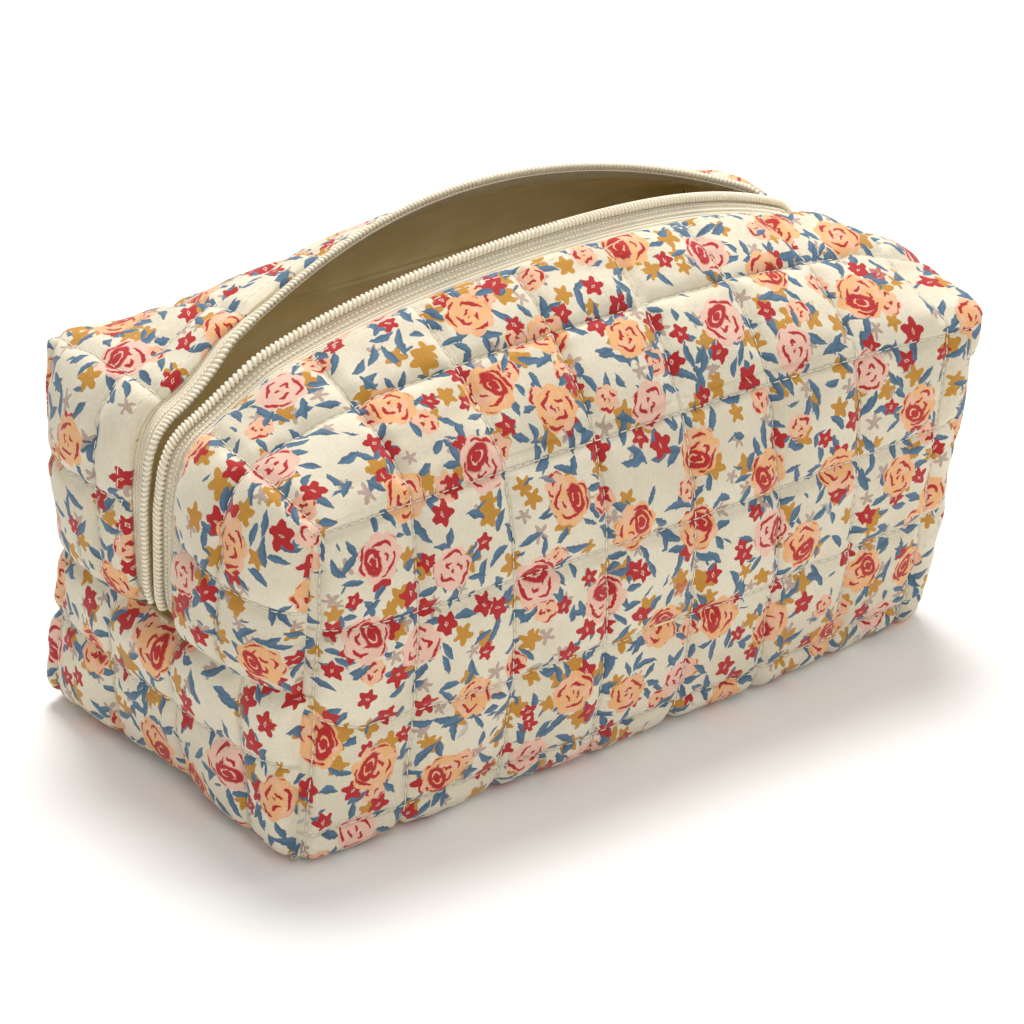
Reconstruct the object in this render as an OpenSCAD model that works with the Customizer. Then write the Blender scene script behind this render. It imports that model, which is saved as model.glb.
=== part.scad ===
// Quilted makeup bag with boxed corners. A zip runs from the seam across one
// end, up and over the top, to the seam across the other end. The bag stands
// open: both lips are raised about the creases where the walls turn into the top.
// +X runs along the zip, the front is at -Y, and the bag stands on z = 0.

/* [Bag] */
// Length between the corner seams
bag_length = 230; // [190:1:290]
// Depth between the top creases
bag_depth = 119; // [100:1:150]
// Height of the top creases
bag_height = 104.5; // [85:1:135]
// How far the front and back walls bulge
wall_bulge = 8; // [0:0.5:12]
// How far the ends bulge
end_bulge = 9; // [2:0.5:12]
// Height of the seam across each end
seam_height = 47; // [35:1:60]

/* [Quilting] */
// Printed cotton
cover_t = 0.5; // [0.3:0.1:0.8]
// Wadding
wadding_t = 2; // [1:0.5:4]
// Smooth lining
lining_t = 0.4; // [0.2:0.1:0.8]

/* [Lips] */
// How far each lip stands up at mid length, in degrees
lip_open = 44; // [25:1:50]
// How far each lip swings down to close, in degrees
lip_close = 36; // [20:1:44]
// Distance from each end of a moving lip to the corner seam
lip_end = 19; // [17:1:40]
// Gap between a moving lip and the fixed corner
lip_gap = 3; // [2:0.5:5]
// Free space round each top crease, where the lip swings
crease_gap = 6; // [5:0.5:10]

/* [Zip] */
// Width of one coil
coil_w = 3.3; // [2.5:0.1:4]
// Thickness of a coil
coil_t = 2.4; // [1.8:0.1:3]
// Slope of the zip at the top corners, in degrees
corner_slope = 25; // [22:0.5:27]
// Height above the end seam at which the zip starts to turn over the corner
turn_height = 30; // [20:1:36]
// How much higher the zip stands at the left corner than at the right
left_rise = 4; // [0:0.5:5]
// Half the gap between the coils when they lie flat
coil_gap = 1.3; // [1:0.1:2]
// Tape in sight between the coil and the cotton
tape_seen = 7.4; // [5:0.1:10]
// Tape sewn in under the cotton
tape_hidden = 6; // [4:0.5:10]
// Tape thickness
tape_t = 0.4; // [0.3:0.1:0.6]

/* [Slider] */
// Distance from the resting slider to the corner seam
slider_inset = 6; // [4:0.5:9]
// Height of the resting slider above the crease
slider_rise = 3.4; // [3:0.1:4]
// Length of the slider
slider_l = 13; // [10:0.5:16]
// Thickness of its two plates
plate_t = 0.9; // [0.7:0.1:1.2]
// Clear space between slider and zip
slide_gap = 0.3; // [0.2:0.05:0.5]
// Length of the pull
pull_l = 18; // [12:0.5:26]
// Width of the pull
pull_w = 5; // [4:0.5:5]
// Thickness of the pull
pull_t = 1.2; // [0.8:0.1:1.6]
// Radius of the hole at the free end of the pull
pull_hole_r = 1.5; // [1:0.1:1.8]
// Metal left round that hole
pull_rim = 1; // [0.8:0.1:1.5]
// How far the resting pull droops below the slider, in degrees
pull_droop = 6; // [2:1:8]

/* [Hidden] */

half_l = bag_length / 2;
half_d = bag_depth / 2;
quilt_t = cover_t + wadding_t;
wall_t = quilt_t + lining_t;
join_gap = 0.3;
end_x = half_l + end_bulge;
lip_half = half_l - lip_end;

// Distances from a top crease across the lip
coil_r1 = half_d - coil_gap;
coil_r0 = coil_r1 - coil_w;
tape_r1 = coil_r1 - coil_w / 3;
cotton_r = coil_r0 - tape_seen;
tape_r0 = cotton_r - tape_hidden;

// Depths of the layers below the outer face of the cotton
wadding_d = cover_t;
lining_d = quilt_t;
tape_d = quilt_t - tape_t;
coil_d = tape_d - coil_t;
mid_d = quilt_t / 2;
chain_d = coil_d + coil_t / 2;

cotton = "#e9e0cb";
batting = "#f4f1e8";
lining_tan = "#b9a67c";
zip_cream = "#efe6cf";
slider_metal = "#d8cdb0";

function mix(a, b, t) = a * (1 - t) + b * t;

// A quilted sheet is a grid of points at(u, v, d): u and v run 0 to 1 over the
// sheet and d is the depth below its outer face.
module sheet(nu, nv, d0, d1, at) {
    row = nv + 1;
    layer = (nu + 1) * row;
    points = [for (d = [d0, d1], i = [0:nu], j = [0:nv]) at(i / nu, j / nv, d)];
    function id(i, j, k) = k * layer + i * row + j;
    function quad(a, b, c, d) = [[a, b, c], [a, c, d]];
    faces = [
        for (i = [0:nu - 1], j = [0:nv - 1]) each concat(
            quad(id(i, j, 0), id(i, j + 1, 0), id(i + 1, j + 1, 0), id(i + 1, j, 0)),
            quad(id(i, j, 1), id(i + 1, j, 1), id(i + 1, j + 1, 1), id(i, j + 1, 1))),
        for (i = [0:nu - 1]) each concat(
            quad(id(i, 0, 0), id(i + 1, 0, 0), id(i + 1, 0, 1), id(i, 0, 1)),
            quad(id(i, nv, 1), id(i + 1, nv, 1), id(i + 1, nv, 0), id(i, nv, 0))),
        for (j = [0:nv - 1]) each concat(
            quad(id(0, j, 1), id(0, j + 1, 1), id(0, j + 1, 0), id(0, j, 0)),
            quad(id(nu, j, 0), id(nu, j + 1, 0), id(nu, j + 1, 1), id(nu, j, 1)))
    ];
    polyhedron(points, faces);
}

// ---- front and back walls ----
// 1 at the middle of a panel and 0 at its edges, with a flat top
dome_power = 0.6;
function dome(t) = pow(max(0, cos(90 * t)), dome_power);
wall_drop = 3.5;
wall_bottom = wall_t + join_gap;
wall_top = bag_height - wall_drop;
wall_at = function(u, v, d)
    let (x = mix(-1, 1, u), z = mix(wall_bottom, wall_top, v))
    [x * (half_l - wall_t - join_gap),
     -half_d - wall_bulge * dome(x) * dome(2 * (z / bag_height) - 1) + d, z];

module wall(d0, d1, shade) {
    color(shade) sheet(10, 6, d0, d1, wall_at);
}

// ---- base ----
module base_sheet(z0, z1, shade) {
    color(shade) translate([-half_l, -half_d, z0]) cube([bag_length, bag_depth, z1 - z0]);
}

// ---- ends ----
// How far an end stands out at a share t of the half depth and at height z: it
// leaves the base on a curve and is at full bulge a little below the seam
full_bulge_z = seam_height * 0.8;
function end_out(t, z) = half_l + end_bulge * dome(t) * sqrt(min(1, z / full_bulge_z));

lower_at = function(u, v, d)
    let (t = mix(-1, 1, u), z = mix(wall_bottom, seam_height, v))
    [end_out(t, z) - d, t * half_d, z];

module lower_end(d0, d1) {
    sheet(10, 4, d0, d1, lower_at);
}

// The zip climbs the end, turns over the corner on an ellipse, and then slopes
// straight up to the lip. The slider rests on the right slope, and its arc over
// the bag meets the left slope too, which stands higher. side is 0 right, 1 left.
corner_z = seam_height + turn_height;
rest_x = half_l - slider_inset;
rest_z = bag_height + slider_rise;
slope_l = 9;
slope_x = [rest_x + slope_l, lip_half + lip_gap];
arc_tilt = atan(left_rise / (2 * rest_x));
arc_r = rest_x / cos(arc_tilt) / sin(corner_slope);
arc_x = -arc_r * cos(corner_slope) * sin(arc_tilt);
arc_z = rest_z + left_rise / 2 - arc_r * cos(corner_slope) * cos(arc_tilt);
function slope_of(side) = corner_slope + (1 - 2 * side) * arc_tilt;
function slope_z(x, side) = rest_z + side * left_rise - tan(slope_of(side)) * (x - rest_x);
// Shares of the zip's way up that are upright and that turn the corner
climb_v = 0.35;
turn_v = 0.45;
function turn_share(v) = max(0, min(1, (v - climb_v) / turn_v));
function stub_path(v, side) =
    let (a = 90 * turn_share(v), x = mix(slope_x[0], slope_x[1], (v - climb_v - turn_v) / (1 - climb_v - turn_v)))
    v < climb_v ? [end_x, mix(seam_height + join_gap, corner_z, v / climb_v)]
    : v < climb_v + turn_v
        ? [slope_x[0] + (end_x - slope_x[0]) * cos(a), mix(corner_z, slope_z(slope_x[0], side), sin(a))]
        : [x, slope_z(x, side)];
// Towards the crease the corner squares up
box_v = 0.6;
function box_path(v) = v < box_v
    ? [half_l, mix(seam_height + join_gap, bag_height, v / box_v)]
    : [mix(half_l, slope_x[1], (v - box_v) / (1 - box_v)), bag_height];
function path_turn(v, side) = (90 - slope_of(side)) * turn_share(v);

function upper_point(y, v, d, side) =
    let (k = dome(min(1, abs(y) / half_d)), a = path_turn(v, side),
         p = mix(box_path(v), stub_path(v, side), k))
    [p[0] - d * cos(a), y, p[1] - d * sin(a)];

upper_y = [half_d - wall_t - join_gap, half_d - cotton_r];
module upper_end(d0, d1, side) {
    sheet(6, 14, d0, d1, function(u, v, d) upper_point(-mix(upper_y[0], upper_y[1], u), v, d, side));
}

module both_sides() {
    children();
    mirror([0, 1, 0]) children();
}

module upper_cover(side) {
    color(cotton) both_sides() upper_end(0, cover_t, side);
}

module end_layer(d0, d1, side, shade) {
    color(shade) {
        lower_end(d0, d1);
        both_sides() upper_end(d0, d1, side);
    }
}

module stub_strip(y0, y1, d0, d1, side) {
    color(zip_cream) both_sides() sheet(1, 16, d0, d1,
        function(u, v, d) upper_point(-mix(y1, y0, u), v, d, side));
}

module stub_tapes(side) {
    stub_strip(half_d - tape_r1, half_d - cotton_r - join_gap, tape_d, quilt_t, side);
}

module stub_coils(side) {
    stub_strip(coil_gap, coil_gap + coil_w, coil_d, tape_d, side);
}

// ---- lips ----
// A lip is raised most at mid length and least at its ends
lip_power = 0.85;
function lip_angle(x) = lip_open * pow(cos(90 * x / end_x), lip_power);

lip_point = function(x, r, d)
    let (a = lip_angle(x), n = mid_d - d)
    [x, -half_d + r * cos(a) - n * sin(a), bag_height + r * sin(a) + n * cos(a)];

// A strip of a lip between the distances listed in rows, nearest the crease first.
// Layers that lie on each other share those distances, so their faces match.
module lip_strip(rows, d0, d1, shade) {
    nv = len(rows) - 1;
    color(shade) sheet(16, nv, d0, d1,
        function(u, v, d) lip_point(mix(-lip_half, lip_half, u), rows[round(v * nv)], d));
}

lip_mid_r = (crease_gap + tape_r0) / 2;
quilt_rows = [crease_gap, lip_mid_r, tape_r0, cotton_r];
module lip_cover() lip_strip(quilt_rows, 0, cover_t, cotton);
module lip_wadding() lip_strip(quilt_rows, cover_t, tape_d, batting);
module lip_lining() lip_strip(quilt_rows, quilt_t, wall_t, lining_tan);
module lip_tape() lip_strip([tape_r0, cotton_r, coil_r0, tape_r1], tape_d, quilt_t, zip_cream);
module lip_coil() lip_strip([coil_r0, tape_r1, coil_r1], coil_d, tape_d, zip_cream);

module back() {
    mirror([0, 1, 0]) children();
}

module left() {
    mirror([1, 0, 0]) children();
}

// ---- slider and pull ----
slider_w = 2 * (coil_gap + coil_w + slide_gap + plate_t);
roof_z = coil_t / 2 + slide_gap;
floor_z = -coil_t / 2 - tape_t - slide_gap;
post_r = coil_gap - slide_gap;
post_inset = 1;
corner_cut = 1;
bridge_r = 3.4;
bridge_w = 2.2;
pin_r = 0.8;
pin_h = 2.1;
pin_z = roof_z + plate_t + pin_h;
cheek_l = 2.8;
tab_x = bridge_r + cheek_l / 2 + 0.2;

module at_slider() {
    translate([arc_x, 0, arc_z]) rotate([0, slope_of(0), 0]) translate([0, 0, arc_r - chain_d]) children();
}

// Each plate has a rounded nose, where the coils part, and a squared tail
module plate_outline() {
    nose = slider_l * 0.3;
    w = slider_w / 2;
    tail = slider_l / 2;
    polygon([
        for (a = [90:15:270]) [nose * (1 + cos(a)) - tail, w * sin(a)],
        [tail - corner_cut, -w], [tail, corner_cut - w], [tail, w - corner_cut], [tail - corner_cut, w]
    ]);
}

module slider_body() {
    flange_y = coil_gap + coil_w + slide_gap;
    flange_t = plate_t * 0.9;
    flange_l = slider_l / 2;
    color(slider_metal) at_slider() {
        translate([0, 0, roof_z]) linear_extrude(plate_t) plate_outline();
        translate([0, 0, floor_z - plate_t]) linear_extrude(plate_t) plate_outline();
        translate([post_r + post_inset - slider_l / 2, 0, floor_z - plate_t / 2])
            cylinder(r = post_r, h = roof_z - floor_z + plate_t, $fn = 32);
        both_sides() translate([-flange_l / 2, flange_y, -coil_t / 4])
            cube([flange_l, flange_t, roof_z + coil_t / 4 + plate_t / 2]);
    }
}

// The bridge is an arched strap whose two feet stand on the upper plate
module slider_bridge() {
    color(slider_metal) at_slider() translate([0, 0, roof_z + plate_t]) intersection() {
        rotate([90, 0, 0]) translate([0, 0, -bridge_w / 2]) difference() {
            cylinder(r = bridge_r + plate_t, h = bridge_w, $fn = 64);
            translate([0, 0, -1]) cylinder(r = bridge_r, h = bridge_w + 2, $fn = 64);
        }
        translate([-slider_l, -slider_l, 0]) cube(2 * slider_l);
    }
}

// The pull's bail passes under the bridge, and its tab lies back along the zip
module pull_tab() {
    end_r = pull_hole_r + pull_rim;
    hole_x = pull_l - end_r;
    color(slider_metal) at_slider() translate([0, 0, pin_z]) rotate([0, pull_droop, 0]) {
        rotate([90, 0, 0]) translate([0, 0, -pull_w / 2]) cylinder(r = pin_r, h = pull_w, $fn = 32);
        both_sides() translate([-pin_r, bridge_w / 2 + slide_gap, -pull_t / 2])
            cube([bridge_r + cheek_l, (pull_w - bridge_w) / 2 - slide_gap, pull_t]);
        difference() {
            translate([tab_x, 0, -pull_t / 2]) linear_extrude(pull_t) {
                translate([0, -pull_w / 2]) square([hole_x - tab_x, pull_w]);
                translate([hole_x - tab_x, 0]) circle(r = end_r, $fn = 48);
            }
            translate([hole_x, 0, -pull_t]) cylinder(r = pull_hole_r, h = 2 * pull_t, $fn = 48);
        }
    }
}

wall(0, cover_t, cotton);  // front_cover
wall(wadding_d, quilt_t, batting);  // front_wadding
wall(lining_d, wall_t, lining_tan);  // front_lining
back() wall(0, cover_t, cotton);  // back_cover
back() wall(wadding_d, quilt_t, batting);  // back_wadding
back() wall(lining_d, wall_t, lining_tan);  // back_lining
base_sheet(0, cover_t, cotton);  // base_cover
base_sheet(wadding_d, quilt_t, batting);  // base_wadding
base_sheet(lining_d, wall_t, lining_tan);  // base_lining
left() color(cotton) lower_end(0, cover_t);  // left_lower_cover
left() upper_cover(1);  // left_upper_cover
left() end_layer(wadding_d, quilt_t, 1, batting);  // left_end_wadding
left() end_layer(lining_d, wall_t, 1, lining_tan);  // left_end_lining
color(cotton) lower_end(0, cover_t);  // right_lower_cover
upper_cover(0);  // right_upper_cover
end_layer(wadding_d, quilt_t, 0, batting);  // right_end_wadding
end_layer(lining_d, wall_t, 0, lining_tan);  // right_end_lining
lip_cover();  // front_lip_cover
lip_wadding();  // front_lip_wadding
lip_lining();  // front_lip_lining
lip_tape();  // front_zip_tape
lip_coil();  // front_zip_coil
back() lip_cover();  // back_lip_cover
back() lip_wadding();  // back_lip_wadding
back() lip_lining();  // back_lip_lining
back() lip_tape();  // back_zip_tape
back() lip_coil();  // back_zip_coil
left() stub_tapes(1);  // left_zip_tapes
left() stub_coils(1);  // left_zip_coils
stub_tapes(0);  // right_zip_tapes
stub_coils(0);  // right_zip_coils
slider_body();
slider_bridge();
pull_tab();
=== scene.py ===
import math

import bpy
import numpy as np
from mathutils import Matrix, Vector


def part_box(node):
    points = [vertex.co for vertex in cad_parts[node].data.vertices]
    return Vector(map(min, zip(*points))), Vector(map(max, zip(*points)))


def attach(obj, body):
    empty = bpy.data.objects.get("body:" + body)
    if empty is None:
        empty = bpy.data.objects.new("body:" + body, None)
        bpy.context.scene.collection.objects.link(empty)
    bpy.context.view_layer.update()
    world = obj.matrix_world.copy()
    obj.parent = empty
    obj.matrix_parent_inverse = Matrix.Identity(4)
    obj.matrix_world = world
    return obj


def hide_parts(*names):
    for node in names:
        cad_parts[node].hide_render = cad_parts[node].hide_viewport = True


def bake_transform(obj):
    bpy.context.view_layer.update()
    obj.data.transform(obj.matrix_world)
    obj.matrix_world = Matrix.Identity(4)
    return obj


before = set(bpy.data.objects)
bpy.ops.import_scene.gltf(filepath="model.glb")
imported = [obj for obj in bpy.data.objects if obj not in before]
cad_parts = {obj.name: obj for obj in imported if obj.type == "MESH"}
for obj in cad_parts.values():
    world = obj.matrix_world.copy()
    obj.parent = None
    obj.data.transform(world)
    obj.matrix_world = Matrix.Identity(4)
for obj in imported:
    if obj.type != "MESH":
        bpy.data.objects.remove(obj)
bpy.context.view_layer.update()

# ---------------------------------------------------------------------------
# Sizes, in millimetres. The frame is in metres.
# ---------------------------------------------------------------------------
MM = 0.001


def corner_mm(node, which):
    """The lowest (0) or highest (1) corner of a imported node, in millimetres."""
    return np.array(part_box(node)[which]) / MM


HALF_L, HALF_D, _ = corner_mm("base_cover", 1)
END_X = corner_mm("right_lower_cover", 1)[0]
SEAM_Z = corner_mm("right_lower_cover", 1)[2]
CREASE_Z = 104.5
LIP_OPEN = 44.0
WALL_BULGE = 11.0
BACK_BULGE = 8.0
BOTTOM_R = 10.0

LENGTH, DEPTH = 2 * HALF_L, 2 * HALF_D
PATH_END = HALF_L + CREASE_Z - SEAM_Z
CHAIN_R = 57.0
COTTON_R = 50.0
TAPE_R = (41.5, 56.9)
QUILT_T = 2.3
LINING_T = 0.4
TAPE_T = 0.4
TAPE_DEPTH = 2.0
CHAIN_DEPTH = 0.9
MID_LIFT = 1.25
EDGE_FADE = 3.5
TUCK_DEPTH, TUCK_REACH = 3.6, 3.2
END_TUCK_DEPTH, END_TUCK_REACH = 4.2, 3.6
TOP_BULGE, END_TOP_BULGE = 4.2, 2.2
SLIDER_HOOD = 3.6
LINING_START, LINING_STOP = 1.0, 46.0
LINING_GAP = 0.15

SQUARE = (30.7, 30.2)
FIRST_LINE = (2.7 - HALF_L, -3.0)
WRAP_LENGTH = 2 * CREASE_Z + DEPTH

# How far the soft bag leans away from a true box at its corners:
# (side, front or back, base or top) and the shift of that corner
CORNER_SHIFTS = {
    (-1, -1, 0): (-6.7, -2.6, 0.0),
    (-1, 1, 0): (-8.6, 2.5, 0.0),
    (1, -1, 0): (-0.5, 3.8, 0.0),
    (-1, -1, 1): (4.0, 2.1, -4.6),
    (-1, 1, 1): (-1.4, 3.7, 6.5),
    (1, -1, 1): (1.6, -10.4, 0.2),
    (1, 1, 1): (-1.0, 3.0, 1.0),
}


# ---------------------------------------------------------------------------
# Curves and noise
# ---------------------------------------------------------------------------
def smooth(t):
    """0 below 0, 1 above 1 and an easy curve between."""
    t = np.clip(t, 0, 1)
    return t * t * (3 - 2 * t)


def dome(t, power=0.6):
    """1 at the middle of a panel and 0 at its edges, t = -1 and 1."""
    return np.maximum(0, np.cos(np.pi / 2 * np.clip(t, -1, 1))) ** power


def unit(a):
    return a / np.maximum(np.linalg.norm(a, axis=-1, keepdims=True), 1e-9)


class SoftNoise:
    """Smooth noise from -1 to 1 over a plane, the same on every run."""

    def __init__(self, seed, cells=64):
        self.table = np.random.default_rng(seed).uniform(-1, 1, (cells, cells))

    def __call__(self, a, b):
        n = len(self.table)
        i, j = np.floor(a).astype(int), np.floor(b).astype(int)
        s, t = smooth(a - i), smooth(b - j)
        low = self.table[i % n, j % n] * (1 - s) + self.table[(i + 1) % n, j % n] * s
        high = self.table[i % n, (j + 1) % n] * (1 - s) + self.table[(i + 1) % n, (j + 1) % n] * s
        return low * (1 - t) + high * t


wide_noise, mid_noise = SoftNoise(3), SoftNoise(7)
row_pucker, column_pucker = SoftNoise(17), SoftNoise(23)


def line_distance(a, first, pitch):
    """Distance from a to the nearest of the evenly spaced quilting lines."""
    t = (a - first) / pitch
    return np.abs(t - np.round(t)) * pitch


def groove(d, width=1.9):
    return np.exp(-((d / width) ** 2))


def quilt_relief(u, v):
    """Height of the quilted face: grooves at the stitching, puckers beside it, and creases."""
    du = line_distance(u, FIRST_LINE[0], SQUARE[0])
    dv = line_distance(v, FIRST_LINE[1], SQUARE[1])
    sewn = np.maximum(groove(du), groove(dv))
    pillow = np.minimum(1, np.minimum(du, dv) / (SQUARE[0] / 2)) ** 0.5
    across = column_pucker(u / 13, v / 4.2) * np.exp(-((du / 7) ** 2))
    along = row_pucker(u / 4.2, v / 13 + 20) * np.exp(-((dv / 7) ** 2))
    crumple = 0.75 * wide_noise(u / 21 + 9, v / 19) + 0.32 * mid_noise(u / 8, v / 7)
    crease = np.abs(mid_noise(u / 26 + 0.4 * v / 26, v / 9 + 31)) ** 0.5
    return -1.5 * sewn + 1.35 * pillow + 0.55 * (across + along) + crumple + 0.55 * crease - 0.3


# ---------------------------------------------------------------------------
# The bag's surfaces. Every one gives points on the outer face, in millimetres,
# before the corners settle and before the quilting is pressed in.
# ---------------------------------------------------------------------------
def settle(points):
    """Leans the box's corners the way the soft bag has settled."""
    x, y, z = points[..., 0], points[..., 1], points[..., 2]
    out = points.copy()
    up = np.clip(z / CREASE_Z, 0, 1)
    for (side_x, side_y, top), shift in CORNER_SHIFTS.items():
        reach = np.clip(side_x * x / HALF_L, 0, 1) ** (2.6 if top else 1.5)
        share = reach * np.clip(side_y * y / HALF_D, 0, 1)
        share = share * (up if top else 1 - up)
        out += share[..., None] * np.array(shift)
    # The seam across the left end climbs towards the front
    at_seam = smooth((-x - 96) / 18) * np.exp(-(((z - SEAM_Z) / 22) ** 2)) * smooth(z / 12)
    out[..., 2] += at_seam * (2.0 + 5.0 * smooth(0.5 - 0.5 * y / HALF_D))
    # The back left corner draws in at the height of the end seam
    waist = np.exp(-(((z - SEAM_Z - 4) / 26) ** 2)) * np.clip(-x / HALF_L, 0, 1) ** 1.5
    waist = waist * np.clip(y / HALF_D, 0, 1)
    out[..., 0] += 4.2 * waist
    out[..., 1] -= 3.0 * waist
    return out


def round_bottom(points):
    """Rolls the edges round the base to BOTTOM_R, and keeps the upright corners square."""
    core = np.array([HALF_L - BOTTOM_R, HALF_D - BOTTOM_R])
    flat = points[..., :2]
    middle = np.clip(flat, -core, core)
    away = flat - middle
    down = np.minimum(0, points[..., 2] - BOTTOM_R)
    wide = np.abs(away).max(axis=-1)
    scale = np.where(down < 0, BOTTOM_R / np.maximum(np.hypot(wide, down), 1e-9), 1.0)
    out = points.copy()
    out[..., :2] = middle + away * scale[..., None]
    out[..., 2] = np.where(down < 0, BOTTOM_R + down * scale, points[..., 2])
    return out


def seam_tuck(points, distance, down):
    """Draws the cloth in to an upright corner seam. distance is measured in the cloth from the
    seam, and down from the top crease."""
    fade = (1 - np.exp(-np.maximum(down, 0) / 5)) * smooth((CREASE_Z - down) / 12 + 0.15)
    pull = TUCK_DEPTH * fade * np.exp(-((np.maximum(distance, 0) / TUCK_REACH) ** 1.3))
    out = points.copy()
    out[..., 0] -= np.sign(points[..., 0]) * pull
    out[..., 1] -= np.sign(points[..., 1]) * pull
    return out


def ear(distance):
    """Shift of the cloth near the point where crease and corner seam meet."""
    pull = 1.6 * np.exp(-distance / 3)
    return np.stack([-pull, 0 * pull, -pull], axis=-1)


def wrap_surface(x, s):
    """Front wall, base and back wall: s runs from the front crease down, under and up."""
    front, back = s < CREASE_Z, s > CREASE_Z + DEPTH
    y = np.clip(s - CREASE_Z, 0, DEPTH) - HALF_D
    z = np.where(front, CREASE_Z - s, np.where(back, s - CREASE_Z - DEPTH, 0.0))
    points = round_bottom(np.stack([x, y, z], axis=-1))
    z = points[..., 2]
    belly = dome(x / HALF_L) * dome(2 * z / CREASE_Z - 1)
    points[..., 1] += np.where(back, BACK_BULGE, np.where(front, -WALL_BULGE, 0.0)) * belly
    side = HALF_L - np.abs(x)
    down = CREASE_Z - z
    wall = front | back
    tucked = seam_tuck(points, side, np.where(wall, down, CREASE_Z))
    points = np.where(wall[..., None], tucked, points)
    shift = ear(side + np.minimum(s, WRAP_LENGTH - s))
    shift[..., 0] *= np.sign(x)
    return points + shift


def lip_angle(x):
    return np.radians(LIP_OPEN) * np.cos(np.pi / 2 * np.clip(x / END_X, -1, 1)) ** 0.85


def chain_guide(side):
    """The line of the zip in one half of the bag: distance along the crease and the corner seam,
    and the line's x, its distance from the middle plane, and z."""
    x = np.arange(0.0, 93.0, 4.0)
    a = lip_angle(x)
    top = np.stack([x, x, HALF_D - CHAIN_R * np.cos(a), CREASE_Z + CHAIN_R * np.sin(a)], axis=1)
    if side < 0:
        corner = [(98, 98, 4.3, 119.0), (104.5, 104, 3.5, 114.9), (110, 109, 3.2, 112.0),
                  (117, 115, 3.1, 109.2), (123, 119.2, 3.1, 105.2), (129, 122, 3.1, 98.5),
                  (140, 123.8, 3.1, 86), (156.5, 124, 3.0, 66), (PATH_END, 124, 2.9, SEAM_Z)]
    else:
        corner = [(98, 98, 4.4, 118.0), (104, 103.5, 3.2, 111.8), (110, 109, 2.9, 108.0),
                  (114.5, 113.5, 2.6, 105.9), (119.5, 118, 2.5, 103.2), (125.5, 121.6, 2.5, 98),
                  (133.5, 123.6, 2.5, 88), (153, 124, 2.5, 67), (PATH_END, 124, 2.5, SEAM_Z)]
    guide = np.concatenate([top, np.array(corner)])
    guide[-9:, 1] += END_X - 124
    return guide


def chain_line(p, side):
    """Smooth position of the zip's line at distance p, for one half of the bag."""
    guide = chain_guide(side)
    fine = np.arange(-12.0, PATH_END + 12.5, 0.5)
    inside = np.clip(np.abs(fine), 0, PATH_END)
    track = np.stack([np.interp(inside, guide[:, 0], guide[:, k]) for k in (1, 2, 3)], axis=1)
    track[:, 0] *= np.sign(fine)
    track[:, 2] -= np.maximum(fine - PATH_END, 0)
    kernel = np.hanning(17)
    kernel /= kernel.sum()
    track = np.stack([np.convolve(track[:, k], kernel, "same") for k in range(3)], axis=1)
    return np.stack([np.interp(p, fine, track[:, k]) for k in range(3)], axis=-1)


def top_surface(p, r, side_x, side_y):
    """A quarter of the top with the upper end below it: p runs from mid length along the crease
    and down the corner seam, r from there across to the zip. Also gives the outward normals."""
    over = np.minimum(p, HALF_L)
    down = np.maximum(p - HALF_L, 0)
    edge = np.stack([over, 0 * p + HALF_D, CREASE_Z - down], axis=-1) + ear(np.abs(p - HALF_L))
    points = edge + (chain_line(p, side_x) - edge) * (r / CHAIN_R)[..., None]
    normal = unit(np.cross(np.gradient(points, axis=0), np.gradient(points, axis=1)))
    if normal[0, 0, 2] < 0:
        normal = -normal
    normal = blur(normal, 9)
    end_share = smooth((p - 95) / 25)
    lift = MID_LIFT * (1 - np.exp(-np.maximum(r, 0) / 4)) * (1 - end_share)
    bulge = (TOP_BULGE + END_TOP_BULGE * end_share) * np.sin(np.pi * np.clip(r / 50, 0, 1)) ** 0.7
    if side_x > 0 > side_y:
        over_slider = np.exp(-(((p - 104) / 15) ** 2))
        rise = smooth((r - 16) / 24) * (1 - smooth((r - COTTON_R) / 3))
        bulge = bulge + SLIDER_HOOD * over_slider * rise
    points = points + normal * (lift + bulge)[..., None]
    tuck = np.exp(-((np.abs(PATH_END - p) / END_TUCK_REACH) ** 1.3))
    points[..., 0] -= END_TUCK_DEPTH * tuck * smooth(r / 6)
    points = np.where((p > HALF_L)[..., None], seam_tuck(points, r, down), points)
    return points * np.array([side_x, side_y, 1.0])


def blur(grid, count):
    """Averages a grid of vectors along its first direction."""
    pad = np.concatenate([grid[:1].repeat(count, 0), grid, grid[-1:].repeat(count, 0)])
    total = sum(pad[k:k + len(grid)] for k in range(2 * count + 1))
    return unit(total)


def end_seam(side_x, side_y):
    """Points of the seam across an end, from the corner to the zip."""
    r = np.linspace(0, CHAIN_R, 40)
    p = np.array([PATH_END - 2.0, PATH_END - 1.0, PATH_END])
    pp, rr = np.meshgrid(p, r, indexing="ij")
    return top_surface(pp, rr, side_x, side_y)[-1]


def lower_end_surface(y, w, side):
    """The base panel turned up an end to the seam: w runs up from the base edge."""
    sharp = np.stack([0 * y + side * HALF_L, y, w], axis=-1)
    points = round_bottom(sharp)
    seam = np.concatenate([end_seam(side, -1), end_seam(side, 1)[::-1]])
    order = np.argsort(seam[:, 1])
    reach = np.abs(np.interp(y, seam[order, 1], seam[order, 0])) - HALF_L
    rise = np.clip(w / SEAM_Z, 0, 1)
    near_seam = smooth((rise - 0.75) / 0.25)
    share = np.sqrt(np.clip(rise / 0.8, 0, 1)) * (1 - near_seam) + near_seam
    full = END_X - HALF_L + 1.5
    belly = full * dome(y / HALF_D) * share
    pull = smooth((rise - 0.8) / 0.2) ** 2
    points[..., 0] += side * (belly * (1 - pull) + reach * pull)
    tucked = seam_tuck(points, HALF_D - np.abs(y), CREASE_Z - points[..., 2])
    keep = pull[..., None]
    return tucked * (1 - keep) + points * keep


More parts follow.
